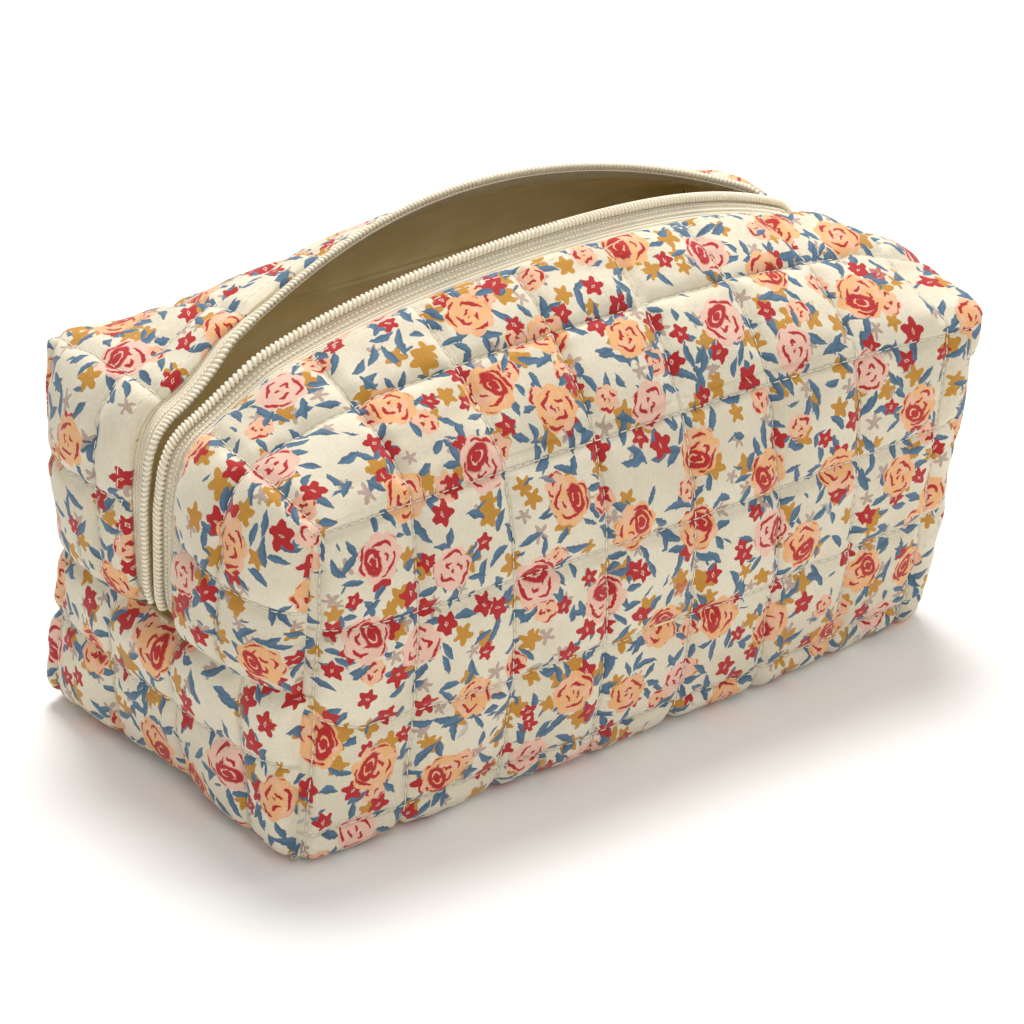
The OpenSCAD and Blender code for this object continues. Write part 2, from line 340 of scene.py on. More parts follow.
# ---------------------------------------------------------------------------
# Meshes
# ---------------------------------------------------------------------------
def grid_normals(points, facing):
    return facing * unit(np.cross(np.gradient(points, axis=0), np.gradient(points, axis=1)))


def new_object(name, verts, faces, cloth=None):
    """A mesh object from points in millimetres. cloth is the place in the flat cloth."""
    mesh = bpy.data.meshes.new(name)
    mesh.from_pydata((np.asarray(verts) * MM).tolist(), [], np.asarray(faces).tolist())
    if cloth is not None:
        attribute = mesh.attributes.new("cloth", "FLOAT_VECTOR", "POINT")
        place = np.zeros((len(verts), 3), np.float32)
        place[:, :cloth.shape[1]] = cloth
        attribute.data.foreach_set("vector", place.ravel())
    mesh.shade_smooth()
    mesh.update()
    piece = bpy.data.objects.new(name, mesh)
    bpy.context.scene.collection.objects.link(piece)
    return piece


def shell(name, outer, inner, cloth, facing, rim_shows=False):
    """A closed sheet between two grids of points. Its hidden side takes the second material, and so
    does its rim, apart from the far edge where rim_shows is set."""
    n, m = outer.shape[:2]
    count = n * m
    ids = np.arange(count).reshape(n, m)
    quads = np.stack([ids[:-1, :-1], ids[1:, :-1], ids[1:, 1:], ids[:-1, 1:]], axis=-1).reshape(-1, 4)
    rim = np.concatenate([ids[:, 0], ids[-1, 1:], ids[-2::-1, -1], ids[0, -2:0:-1]])
    after = np.roll(rim, -1)
    sides = np.stack([after, rim, rim + count, after + count], axis=-1)
    faces = np.concatenate([quads, quads[:, ::-1] + count, sides])
    if facing < 0:
        faces = faces[:, ::-1]
    verts = np.concatenate([outer.reshape(-1, 3), inner.reshape(-1, 3)])
    place = np.concatenate([cloth.reshape(-1, 2)] * 2)
    piece = new_object(name, verts, faces, place)
    within = np.zeros(len(faces), np.int32)
    within[len(quads):2 * len(quads) + (n if rim_shows else len(rim))] = 1
    piece.data.polygons.foreach_set("material_index", within)
    piece.data.set_sharp_from_angle(angle=math.radians(55))
    return piece


def sample(grid, i, j):
    """Values of a grid at fractional places."""
    i = np.clip(i, 0, grid.shape[0] - 1.001)
    j = np.clip(j, 0, grid.shape[1] - 1.001)
    a, b = i.astype(int), j.astype(int)
    s, t = (i - a)[..., None], (j - b)[..., None]
    low = grid[a, b] * (1 - s) + grid[a + 1, b] * s
    high = grid[a, b + 1] * (1 - s) + grid[a + 1, b + 1] * s
    return low * (1 - t) + high * t


def threads(name, centres, normals, radius, sides=6, ends=(0.45, 0.45), flatten=1.0):
    """Threads with tapered ends. centres and normals are (thread, station, 3)."""
    count, stations = centres.shape[:2]
    along = unit(np.gradient(centres, axis=1))
    across = unit(np.cross(along, normals))
    up = np.cross(across, along)
    taper = np.ones(stations)
    taper[[0, -1]] = ends
    angle = 2 * np.pi * np.arange(sides) / sides
    ring = np.cos(angle)[:, None] * across[:, :, None, :]
    ring = ring + flatten * np.sin(angle)[:, None] * up[:, :, None, :]
    verts = centres[:, :, None, :] + ring * (radius * taper)[None, :, None, None]
    ids = np.arange(count * stations * sides).reshape(count, stations, sides)
    nxt = np.roll(ids, -1, axis=2)
    walls = np.stack([ids[:, :-1], nxt[:, :-1], nxt[:, 1:], ids[:, 1:]], axis=-1).reshape(-1, 4)
    caps = [list(c) for c in ids[:, 0, ::-1]] + [list(c) for c in ids[:, -1]]
    faces = walls.tolist() + [[int(k) for k in cap] for cap in caps]
    mesh = bpy.data.meshes.new(name)
    mesh.from_pydata((verts.reshape(-1, 3) * MM).tolist(), [], faces)
    mesh.shade_smooth()
    mesh.update()
    piece = bpy.data.objects.new(name, mesh)
    bpy.context.scene.collection.objects.link(piece)
    return piece


# ---------------------------------------------------------------------------
# Cloth panels
# ---------------------------------------------------------------------------
class Panel:
    """A quilted panel: its grid axes in cloth millimetres and its outer and inner points."""

    def __init__(self, points, cloth, axes, facing, relief=True, bound=None, spare=0):
        """The first spare rows only steady the normals, and are cut off."""
        self.facing = facing
        base = settle(points)
        normal = grid_normals(base, facing)
        lift = quilt_relief(cloth[..., 0], cloth[..., 1]) if relief else 0 * cloth[..., 0]
        if bound is not None:
            lift = bound(lift)
        outer = base + normal * lift[..., None]
        self.axes, self.cloth = (axes[0][spare:], axes[1]), cloth[spare:]
        self.base, self.normal, self.outer = base[spare:], normal[spare:], outer[spare:]
        self.face_normal = grid_normals(outer, facing)[spare:]

    def inner(self, depth):
        return self.base - self.normal * depth

    def at(self, a, b, lift=0.0):
        """Points and normals on the outer face at grid-axis values a and b."""
        i = np.interp(a, self.axes[0], np.arange(len(self.axes[0])))
        j = np.interp(b, self.axes[1], np.arange(len(self.axes[1])))
        normal = unit(sample(self.face_normal, i, j))
        return sample(self.outer, i, j) + normal * lift, normal


def steps(length, step):
    return int(round(length / step)) + 1


def wrap_panel(step, relief=True):
    x = np.linspace(-HALF_L, HALF_L, steps(LENGTH, step))
    s = np.linspace(0, WRAP_LENGTH, steps(WRAP_LENGTH, step))
    xx, ss = np.meshgrid(x, s, indexing="ij")
    cloth = np.stack([xx, -ss], axis=-1)
    points = wrap_surface(xx, ss)

    def bound(lift):
        on_base = smooth((ss - CREASE_Z) / 6) * smooth((CREASE_Z + DEPTH - ss) / 6)
        edge = np.minimum(np.minimum(ss, WRAP_LENGTH - ss), HALF_L - np.abs(xx))
        lift = lift * smooth(edge / EDGE_FADE)
        return lift * (1 - on_base) + (np.minimum(lift, 0.9) - 0.9) * on_base
    return Panel(points, cloth, (x, s), -1, relief, bound)


def top_panel(side_x, side_y, step, relief=True, first=0.0, last=COTTON_R):
    p = np.linspace(0, PATH_END, steps(PATH_END, step))
    p = np.concatenate([[-2 * p[1], -p[1]], p])
    r = np.linspace(first, last, steps(last - first, step))
    pp, rr = np.meshgrid(p, r, indexing="ij")
    v = rr if side_y < 0 else -WRAP_LENGTH - rr
    cloth = np.stack([side_x * pp, v], axis=-1)
    points = top_surface(pp, rr, side_x, side_y)

    def bound(lift):
        lift = lift * smooth(rr / EDGE_FADE) * smooth((PATH_END - pp) / EDGE_FADE)
        edge = np.exp(-((last - rr) / 1.1) ** 2) + 0.5 * groove(last - 2.6 - rr, 0.9)
        return lift * smooth((last - rr) / 5 + 0.4) - edge
    return Panel(points, cloth, (p, r), -side_x * side_y, relief, bound if relief else None, 2)


def lower_end_panel(side, step, relief=True):
    y = np.linspace(-HALF_D, HALF_D, steps(DEPTH, step))
    w = np.linspace(0, SEAM_Z, steps(SEAM_Z, step))
    yy, ww = np.meshgrid(y, w, indexing="ij")
    cloth = np.stack([side * (HALF_L + ww), -CREASE_Z - HALF_D - yy], axis=-1)
    points = lower_end_surface(yy, ww, side)

    def bound(lift):
        lift = lift * smooth((HALF_D - np.abs(yy)) / EDGE_FADE) * smooth((SEAM_Z - ww) / EDGE_FADE)
        return lift * smooth(ww / 6)
    return Panel(points, cloth, (y, w), side, relief, bound)


# ---------------------------------------------------------------------------
# Materials
# ---------------------------------------------------------------------------
def srgb(text):
    """Linear colour from a hex colour."""
    value = [int(text[k:k + 2], 16) / 255 for k in (0, 2, 4)]
    return tuple(c / 12.92 if c <= 0.04045 else ((c + 0.055) / 1.055) ** 2.4 for c in value) + (1.0,)


CREAM, WARM_CREAM, TAUPE = "DFD6C0", "D4CAB2", "A98F84"
MUSTARD, BLUE, TEAL = "BC862C", "52708A", "2F4A55"
PINK, PEACH, RED = "E4BBA8", "E5AE78", "AE1A1E"
# Leaves in the print: spacing, seed, lay, length, width, bend and share of places filled
LEAF_LAYERS = [
    (9.5, 3.7, 0.2, 7.5, 2.3, 0.7, 0.5),
    (11.0, 53.1, 1.0, 8.5, 2.2, 1.1, 0.5),
    (8.5, 88.9, 0.6, 5.5, 2.0, -0.5, 0.42),
    (7.5, 19.3, 1.4, 3.6, 0.9, 0.3, 0.3),
]


class Wiring:
    """Adds nodes to one node tree. Inputs may be numbers, colours or other nodes' outputs."""

    def __init__(self, tree):
        self.tree = tree

    def put(self, socket, value):
        if isinstance(value, bpy.types.NodeSocket):
            self.tree.links.new(value, socket)
        elif value is not None:
            socket.default_value = value

    def node(self, kind, inputs=(), **settings):
        made = self.tree.nodes.new("ShaderNode" + kind)
        for key, value in settings.items():
            setattr(made, key, value)
        for key, value in dict(inputs).items():
            self.put(made.inputs[key], value)
        return made

    def math(self, operation, a, b=None, c=None):
        return self.node("Math", {0: a, 1: b, 2: c}, operation=operation).outputs[0]

    def add(self, a, b):
        return self.math("ADD", a, b)

    def times(self, a, b):
        return self.math("MULTIPLY", a, b)

    def ramp(self, value, low, high, start=0.0, end=1.0):
        """Eases from start, at low, to end, at high."""
        made = self.node("MapRange", {"Value": value}, interpolation_type="SMOOTHSTEP")
        for key, put in (("From Min", low), ("From Max", high), ("To Min", start), ("To Max", end)):
            self.put(made.inputs[key], put)
        return made.outputs["Result"]

    def under(self, value, edge, soft=0.12):
        """1 where value is under edge, with an edge soft millimetres wide each way."""
        return self.ramp(self.math("SUBTRACT", value, edge), -soft, soft, 1.0, 0.0)

    def mix(self, share, a, b, blend="MIX"):
        made = self.node("Mix", {0: share}, data_type="RGBA", blend_type=blend)
        self.put(made.inputs[6], a)
        self.put(made.inputs[7], b)
        return made.outputs[2]

    def noise(self, vector, scale, detail=1.0, out="Fac"):
        made = self.node("TexNoise", {"Vector": vector, "Scale": scale, "Detail": detail})
        return made.outputs[out]

    def vector(self, operation, a, b=None, scale=None):
        made = self.node("VectorMath", {0: a, 1: b}, operation=operation)
        if scale is not None:
            self.put(made.inputs["Scale"], scale)
        return made.outputs[0]

    def turn(self, vector, angle):
        made = self.node("VectorRotate", {"Vector": vector, "Angle": angle}, rotation_type="Z_AXIS")
        return made.outputs[0]

    def xyz(self, x=0.0, y=0.0, z=0.0):
        return self.node("CombineXYZ", {0: x, 1: y, 2: z}).outputs[0]

    def split(self, vector):
        return self.node("SeparateXYZ", {0: vector}).outputs

    def group(self, tree, inputs):
        made = self.tree.nodes.new("ShaderNodeGroup")
        made.node_tree = tree
        for key, value in inputs.items():
            self.put(made.inputs[key], value)
        return made.outputs


def effect(name, inputs, outputs, build):
    """A shader node group with named inputs and outputs, filled in by build."""
    tree = bpy.data.node_groups.new(name, "ShaderNodeTree")
    for key, kind, value in inputs:
        socket = tree.interface.new_socket(key, in_out="INPUT", socket_type="NodeSocket" + kind)
        if value is not None:
            socket.default_value = value
    for key, kind in outputs:
        tree.interface.new_socket(key, in_out="OUTPUT", socket_type="NodeSocket" + kind)
    wires = Wiring(tree)
    entry = tree.nodes.new("NodeGroupInput").outputs
    made = build(wires, entry)
    way_out = tree.nodes.new("NodeGroupOutput").inputs
    for key, value in made.items():
        wires.put(way_out[key], value)
    return tree


def build_scatter(w, given):
    """Spots scattered over the cloth: the place within the nearest spot, turned at random."""
    turned = w.turn(given["Cloth"], given["Lay"])
    scaled = w.vector("DIVIDE", turned, w.xyz(given["Spacing"], given["Spacing"], 1.0))
    moved = w.vector("ADD", scaled, w.xyz(given["Seed"], given["Seed"], 0.0))
    cells = w.node("TexVoronoi", {"Vector": moved, "Scale": 1.0, "Randomness": given["Jitter"]},
                   voronoi_dimensions="2D", feature="F1")
    away = w.vector("SUBTRACT", moved, cells.outputs["Position"])
    local = w.vector("SCALE", away, scale=given["Spacing"])
    pick = w.split(cells.outputs["Color"])
    place = w.split(w.turn(local, w.times(pick[0], 6.283)))
    return {"X": place[0], "Y": place[1], "Pick": pick[1], "Other Pick": pick[2]}


def build_star(w, given):
    """A five-petalled flower, with a light dash at its centre."""
    angle = w.math("ARCTAN2", given["Y"], given["X"])
    reach = w.math("SQRT", w.add(w.times(given["X"], given["X"]), w.times(given["Y"], given["Y"])))
    petals = w.math("COSINE", w.times(angle, 5.0))
    mean = w.math("SUBTRACT", 1.0, given["Notch"])
    edge = w.times(given["Radius"], w.add(w.times(petals, given["Notch"]), mean))
    dash = w.add(w.math("ABSOLUTE", w.times(given["Y"], 2.2)), w.math("ABSOLUTE", given["X"]))
    ring = w.math("ABSOLUTE", w.math("SUBTRACT", dash, 0.7))
    return {"Petals": w.under(reach, edge), "Dash": w.under(ring, 0.24)}


def build_leaf(w, given):
    """A pointed leaf that bends, with a darker vein along one side."""
    half = w.times(given["Length"], 0.5)
    t = w.math("DIVIDE", given["X"], half)
    bend = w.times(w.times(t, t), given["Bend"])
    y = w.math("SUBTRACT", given["Y"], bend)
    room = w.math("SUBTRACT", 1.0, w.times(t, t))
    edge = w.times(w.times(given["Width"], 0.5), room)
    leaf = w.under(w.math("ABSOLUTE", y), edge, 0.1)
    side = w.math("MULTIPLY", leaf, w.ramp(w.math("SUBTRACT", y, w.times(edge, 0.15)), -0.08, 0.12))
    return {"Leaf": leaf, "Shade": side}


def build_rose(w, given):
    """A full rose: scalloped petals, curled red strokes and a ring of leaves round it."""
    angle = w.math("ARCTAN2", given["Y"], given["X"])
    reach = w.math("SQRT", w.add(w.times(given["X"], given["X"]), w.times(given["Y"], given["Y"])))
    turn = w.times(given["Pick"], 6.283)
    scallop = w.math("ABSOLUTE", w.math("SINE", w.add(w.times(angle, 3.5), turn)))
    edge = w.times(given["Radius"], w.add(0.86, w.times(scallop, 0.15)))
    petals = w.under(reach, edge)
    swirl = w.add(w.math("DIVIDE", reach, 2.3), w.math("DIVIDE", angle, 6.283))
    waved = w.add(swirl, w.times(w.math("SINE", w.add(w.times(angle, 5.0), turn)), 0.13))
    curl = w.math("ABSOLUTE", w.math("SUBTRACT", w.math("FRACT", waved), 0.5))
    ring = w.math("FLOOR", waved)
    broken = w.math("SINE", w.add(w.times(angle, 2.4), w.add(w.times(ring, 2.2), turn)))
    stroke = w.times(w.under(curl, w.add(0.13, w.times(broken, 0.10)), 0.04), w.ramp(broken, -0.4, -0.25))
    inner = w.under(reach, w.times(edge, 0.93), 0.2)
    blot_x = w.math("SUBTRACT", given["X"], w.times(given["Radius"], 0.3))
    blot = w.math("SQRT", w.add(w.times(blot_x, blot_x), w.times(w.times(given["Y"], given["Y"]), 0.35)))
    heavy = w.under(blot, w.times(given["Radius"], 0.36), 0.25)
    heavy = w.times(heavy, w.ramp(given["Other Pick"], 0.55, 0.56))
    light = w.under(w.math("ABSOLUTE", w.math("SUBTRACT", blot, 1.2)), 0.2, 0.1)
    heavy = w.times(heavy, w.math("SUBTRACT", 1.0, light))
    red = w.times(inner, w.math("MAXIMUM", stroke, heavy))
    sector = w.add(w.times(w.math("DIVIDE", w.add(angle, turn), 6.283), 6.0), 12.0)
    offset = w.times(w.math("SUBTRACT", w.math("FRACT", sector), 0.5), 1.047)
    chance = w.node("TexWhiteNoise", {"W": w.add(w.math("FLOOR", sector), w.times(given["Pick"], 91.0))},
                    noise_dimensions="1D").outputs["Value"]
    out = w.math("SUBTRACT", w.times(reach, w.math("COSINE", offset)), w.add(given["Radius"], 2.4))
    across = w.times(reach, w.math("SINE", offset))
    skew = w.add(across, w.times(out, w.math("SUBTRACT", w.times(chance, 1.6), 0.8)))
    t = w.math("DIVIDE", out, 2.9)
    half_width = w.times(w.math("SUBTRACT", 1.0, w.times(t, t)), w.add(0.7, w.times(chance, 0.6)))
    leaf = w.times(w.under(w.math("ABSOLUTE", skew), half_width, 0.1), w.ramp(chance, 0.22, 0.23))
    shade = w.times(leaf, w.ramp(skew, -0.05, 0.15))
    return {"Petals": petals, "Red": red, "Leaves": leaf, "Leaf Shade": shade}


def build_weave(w, given):
    """Plain weave: height of the threads, and the light and dark of uneven yarn."""
    at = w.split(given["Cloth"])
    pitch = 6.283 / 0.5
    over = w.math("SINE", w.times(at[0], pitch))
    under = w.math("SINE", w.times(at[1], pitch))
    height = w.times(w.times(over, under), 0.5)
    slub_x = w.noise(w.vector("MULTIPLY", given["Cloth"], (0.35, 2.6, 1.0)), 1.0, 2.0)
    slub_y = w.noise(w.vector("MULTIPLY", given["Cloth"], (2.6, 0.35, 1.0)), 1.0, 2.0)
    yarn = w.math("SUBTRACT", w.add(slub_x, slub_y), 1.0)
    return {"Height": w.add(height, w.times(yarn, 1.6)), "Yarn": yarn}


def make_effects():
    place = [("X", "Float", 0.0), ("Y", "Float", 0.0)]
    leaf = [("Length", "Float", 8.0), ("Width", "Float", 3.0), ("Bend", "Float", 0.8)]
    rose = [("Radius", "Float", 9.0), ("Pick", "Float", 0.5), ("Other Pick", "Float", 0.5)]
    scatter = [("Cloth", "Vector", None), ("Spacing", "Float", 20.0), ("Jitter", "Float", 0.5),
               ("Seed", "Float", 0.0), ("Lay", "Float", 0.3)]
    star = [("Radius", "Float", 4.0), ("Notch", "Float", 0.3)]

    def masks(*names):
        return [(name, "Float") for name in names]

    return {
        "scatter": effect("scattered spots", scatter, masks("X", "Y", "Pick", "Other Pick"), build_scatter),
        "star": effect("star flower", place + star, masks("Petals", "Dash"), build_star),
        "leaf": effect("leaf", place + leaf, masks("Leaf", "Shade"), build_leaf),
        "rose": effect("rose", place + rose, masks("Petals", "Red", "Leaves", "Leaf Shade"), build_rose),
        "weave": effect("plain weave", [("Cloth", "Vector", None)], masks("Height", "Yarn"), build_weave),
    }


EFFECTS = make_effects()


def new_material(name, roughness, metallic=0.0):
    material = bpy.data.materials.new(name)
    material.use_nodes = True
    shader = material.node_tree.nodes["Principled BSDF"]
    shader.inputs["Roughness"].default_value = roughness
    shader.inputs["Metallic"].default_value = metallic
    return material, Wiring(material.node_tree), shader


def bumped(w, shader, height, distance, strength=1.0):
    bump = w.node("Bump", {"Height": height, "Distance": distance * MM, "Strength": strength})
    w.put(shader.inputs["Normal"], bump.outputs[0])


def painted_groove_shade(w, cloth):
    """Painted shade: darkens the cloth's colour a little along the quilting lines, at the bottom of the
    grooves where shadow falls.
    """
    at = w.split(cloth)
    sideways = w.math("PINGPONG", w.math("SUBTRACT", at[0], FIRST_LINE[0]), SQUARE[0] / 2)
    upright = w.math("PINGPONG", w.math("SUBTRACT", at[1], FIRST_LINE[1]), SQUARE[1] / 2)
    return w.ramp(w.math("MINIMUM", sideways, upright), 0.1, 1.0, 0.74, 1.0)


def printed_cotton():
    """Cream cotton printed with roses, star flowers, leaves and buds."""
    material, w, shader = new_material("printed cotton", 0.85)
    cloth = w.node("Attribute", attribute_name="cloth").outputs["Vector"]
    hand = w.vector("SUBTRACT", w.noise(cloth, 0.42, 2.0, "Color"), (0.5, 0.5, 0.5))
    fine = w.vector("SUBTRACT", w.noise(cloth, 1.5, 1.0, "Color"), (0.5, 0.5, 0.5))
    wobble = w.vector("ADD", w.vector("SCALE", hand, scale=1.5), w.vector("SCALE", fine, scale=0.4))
    drawn = w.vector("ADD", cloth, wobble)

    def spots(spacing, jitter, seed, lay):
        return w.group(EFFECTS["scatter"], {"Cloth": drawn, "Spacing": spacing, "Jitter": jitter,
                                            "Seed": seed, "Lay": lay})

    def some(pick, share):
        return w.ramp(pick, share, share + 0.01, 1.0, 0.0)

    def flowers(spacing, jitter, seed, lay, radius, notch, share):
        spot = spots(spacing, jitter, seed, lay)
        size = w.add(radius * 0.8, w.times(spot["Other Pick"], radius * 0.4))
        star = w.group(EFFECTS["star"], {"X": spot["X"], "Y": spot["Y"], "Radius": size, "Notch": notch})
        chosen = some(spot["Pick"], share)
        return w.times(star["Petals"], chosen), w.times(star["Dash"], chosen)

    def leaves(spacing, jitter, seed, lay, length, width, bend, share):
        spot = spots(spacing, jitter, seed, lay)
        long = w.add(length * 0.75, w.times(spot["Other Pick"], length * 0.5))
        leaf = w.group(EFFECTS["leaf"], {"X": spot["X"], "Y": spot["Y"], "Length": long,
                                         "Width": width, "Bend": bend})
        chosen = some(spot["Pick"], share)
        return w.times(leaf["Leaf"], chosen), w.times(leaf["Shade"], chosen)

    blue, teal, red, mustard = srgb(BLUE), srgb(TEAL), srgb(RED), srgb(MUSTARD)
    colour = w.mix(w.ramp(w.noise(cloth, 0.03, 2.0), 0.35, 0.7), srgb(CREAM), srgb(WARM_CREAM))
    taupe, _ = flowers(8.5, 0.9, 31.7, 0.9, 2.5, 0.32, 0.4)
    colour = w.mix(w.times(taupe, 0.85), colour, srgb(TAUPE))
    gold, _ = flowers(10.5, 0.85, 5.3, 0.35, 3.5, 0.22, 0.42)
    colour = w.mix(gold, colour, mustard)
    gold_two, _ = flowers(12.0, 0.9, 47.1, 1.3, 3.0, 0.24, 0.36)
    colour = w.mix(gold_two, colour, mustard)
    for spacing, seed, lay, length, width, bend, share in LEAF_LAYERS:
        leaf, shade = leaves(spacing, 0.9, seed, lay, length, width, bend, share)
        colour = w.mix(leaf, colour, blue)
        colour = w.mix(w.times(shade, 0.35), colour, teal)
    rose_spot = spots(25.0, 0.5, 12.4, 0.42)
    size = w.add(5.9, w.times(rose_spot["Other Pick"], 1.5))
    rose = w.group(EFFECTS["rose"], {"X": rose_spot["X"], "Y": rose_spot["Y"], "Radius": size,
                                     "Pick": rose_spot["Pick"], "Other Pick": rose_spot["Other Pick"]})
    bud_spot = spots(17.0, 0.8, 71.9, 1.1)
    bud = w.group(EFFECTS["rose"], {"X": bud_spot["X"], "Y": bud_spot["Y"], "Radius": 3.9,
                                    "Pick": bud_spot["Pick"], "Other Pick": 0.0})
    bud_chosen = some(bud_spot["Other Pick"], 0.4)
    pink = w.mix(w.noise(cloth, 0.35), srgb(PINK), srgb(PEACH))
    colour = w.mix(w.times(bud["Petals"], bud_chosen), colour, pink)
    colour = w.mix(w.times(bud["Red"], bud_chosen), colour, red)
    colour = w.mix(rose["Leaves"], colour, blue)
    colour = w.mix(w.times(rose["Leaf Shade"], 0.4), colour, teal)
    petal = w.mix(w.ramp(rose_spot["Pick"], 0.62, 0.64), srgb(PEACH), srgb(PINK))
    petal = w.mix(w.times(w.ramp(w.noise(drawn, 0.22), 0.5, 0.6), 0.5), petal, srgb(PINK))
    colour = w.mix(rose["Petals"], colour, petal)
    colour = w.mix(rose["Red"], colour, red)
    star, dash = flowers(10.0, 0.9, 23.9, 0.75, 3.3, 0.2, 0.42)
    clear = w.math("SUBTRACT", 1.0, rose["Petals"])
    colour = w.mix(w.times(star, clear), colour, red)
    colour = w.mix(w.times(w.times(dash, clear), 0.8), colour, srgb(CREAM))

    weave = w.group(EFFECTS["weave"], {"Cloth": cloth})
    # The cloth's tone: the yarn's uneven light and dark, times painted shade along the quilting grooves.
    shade = w.times(w.ramp(weave["Yarn"], -0.5, 0.5, 0.9, 1.06), painted_groove_shade(w, cloth))
    yarn_tone_and_painted_shade = w.node("CombineColor", {0: shade, 1: shade, 2: shade}).outputs[0]
    colour = w.mix(1.0, colour, yarn_tone_and_painted_shade, "MULTIPLY")
    w.put(shader.inputs["Base Color"], colour)
    shader.inputs["Sheen Weight"].default_value = 0.15
    shader.inputs["Sheen Roughness"].default_value = 0.5
    bumped(w, shader, weave["Height"], 0.06, 0.6)
    return material


def cloth_place(w):
    return w.node("Attribute", attribute_name="cloth").outputs["Vector"]


def lining_cloth():
    """Thin shiny olive-tan lining with pale flecks."""
    material, w, shader = new_material("lining", 0.42)
    cloth = cloth_place(w)
    tone = w.mix(w.ramp(w.noise(cloth, 0.06, 3.0), 0.35, 0.65), srgb("E9D49C"), srgb("F1E0B2"))
    flecks = w.ramp(w.noise(cloth, 1.1, 0.0), 0.74, 0.8)
    tone = w.mix(w.times(flecks, 0.6), tone, srgb("E5DCC0"))
    weave = w.group(EFFECTS["weave"], {"Cloth": cloth})
    w.put(shader.inputs["Base Color"], tone)
    shader.inputs["Sheen Weight"].default_value = 0.3
    folds = w.add(w.times(w.noise(cloth, 0.12, 3.0), 14.0), weave["Height"])
    bumped(w, shader, folds, 0.08, 0.8)
    return material


def woven_tape():
    """Herringbone zip tape: fine ribs along its length."""
    material, w, shader = new_material("zip tape", 0.75)
    cloth = cloth_place(w)
    at = w.split(cloth)
    ribs = w.math("SINE", w.times(w.add(at[1], w.times(w.math("PINGPONG", at[0], 0.35), 0.8)), 6.283 / 0.75))
    tone = w.mix(w.ramp(ribs, -1.0, 1.0), srgb("DCD0B4"), srgb("F1E9D4"))
    w.put(shader.inputs["Base Color"], tone)
    bumped(w, shader, ribs, 0.12, 0.9)
    return material


def nylon_coil():
    material, w, shader = new_material("zip coil", 0.32)
    place = w.node("NewGeometry").outputs["Position"]
    tone = w.mix(w.noise(place, 300.0, 2.0), srgb("E6DBC0"), srgb("F5EEDC"))
    w.put(shader.inputs["Base Color"], tone)
    shader.inputs["Coat Weight"].default_value = 0.25
    return material


def sewing_thread():
    material, w, shader = new_material("sewing thread", 0.55)
    place = w.node("NewGeometry").outputs["Position"]
    twist = w.noise(place, 2600.0, 1.0)
    w.put(shader.inputs["Base Color"], w.mix(twist, srgb("DDD2B8"), srgb("F6F0E0")))
    shader.inputs["Sheen Weight"].default_value = 0.3
    bumped(w, shader, twist, 0.05, 0.6)
    return material


def slider_metal():
    """Cream enamel over cast metal, its colour and roughness uneven at random."""
    material, w, shader = new_material("slider metal", 0.3, 1.0)
    place = w.node("NewGeometry").outputs["Position"]
    tone = w.mix(w.noise(place, 260.0, 3.0), srgb("CFC3A4"), srgb("E4DAC0"))
    w.put(shader.inputs["Base Color"], tone)
    w.put(shader.inputs["Roughness"], w.ramp(w.noise(place, 700.0, 3.0), 0.3, 0.7, 0.24, 0.4))
    return material


def pale_floor():
    material, _, shader = new_material("pale floor", 0.95)
    shader.inputs["Base Color"].default_value = srgb("FEFEFD")
    shader.inputs["Specular IOR Level"].default_value = 0.1
    return material


MATERIALS = {
    "printed_cotton": printed_cotton(),
    "lining": lining_cloth(),
    "zip_tape": woven_tape(),
    "zip_coil": nylon_coil(),
    "thread": sewing_thread(),
    "slider_metal": slider_metal(),
}


def finish_piece(piece, material, nodes=(), back=None):
    """Gives a piece its material, and a sheet's hidden side a second one."""
    piece.data.materials.append(MATERIALS[material])
    piece.data.materials.append(MATERIALS[back or material])
    if nodes:
        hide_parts(*nodes)


# ---------------------------------------------------------------------------
# Pieces
# ---------------------------------------------------------------------------
SIDES = {-1: "left", 1: "right"}
FACES = {-1: "front", 1: "back"}


def follow_lip(piece):
    """Bakes the piece's transform into its mesh; it is attached to no body."""
    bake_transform(piece)


def make_wrap():
    panel = wrap_panel(1.25)
    piece = shell("front_base_and_back_quilt", panel.outer, panel.inner(QUILT_T), panel.cloth, -1)
    nodes = [face + layer for face in ("front", "back", "base") for layer in ("_cover", "_wadding")]
    finish_piece(piece, "printed_cotton", nodes, "lining")
    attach(piece, "bag")
    return panel


def make_lower_end(side):
    panel = lower_end_panel(side, 1.2)
    name = SIDES[side]
    piece = shell(name + "_lower_end_quilt", panel.outer, panel.inner(QUILT_T), panel.cloth, side)
    finish_piece(piece, "printed_cotton", 
                 [name + "_lower_cover", name + "_end_wadding"], "lining")
    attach(piece, "bag")
    return panel


def make_top(side_x, side_y):
    panel = top_panel(side_x, side_y, 1.2)
    name = FACES[side_y] + "_" + SIDES[side_x]
    piece = shell(name + "_top_quilt", panel.outer, panel.inner(QUILT_T), panel.cloth, panel.facing, True)
    face = FACES[side_y]
    nodes = [face + "_lip_cover", face + "_lip_wadding", SIDES[side_x] + "_upper_cover"]
    finish_piece(piece, "printed_cotton", nodes, "lining")
    follow_lip(piece)
    return panel


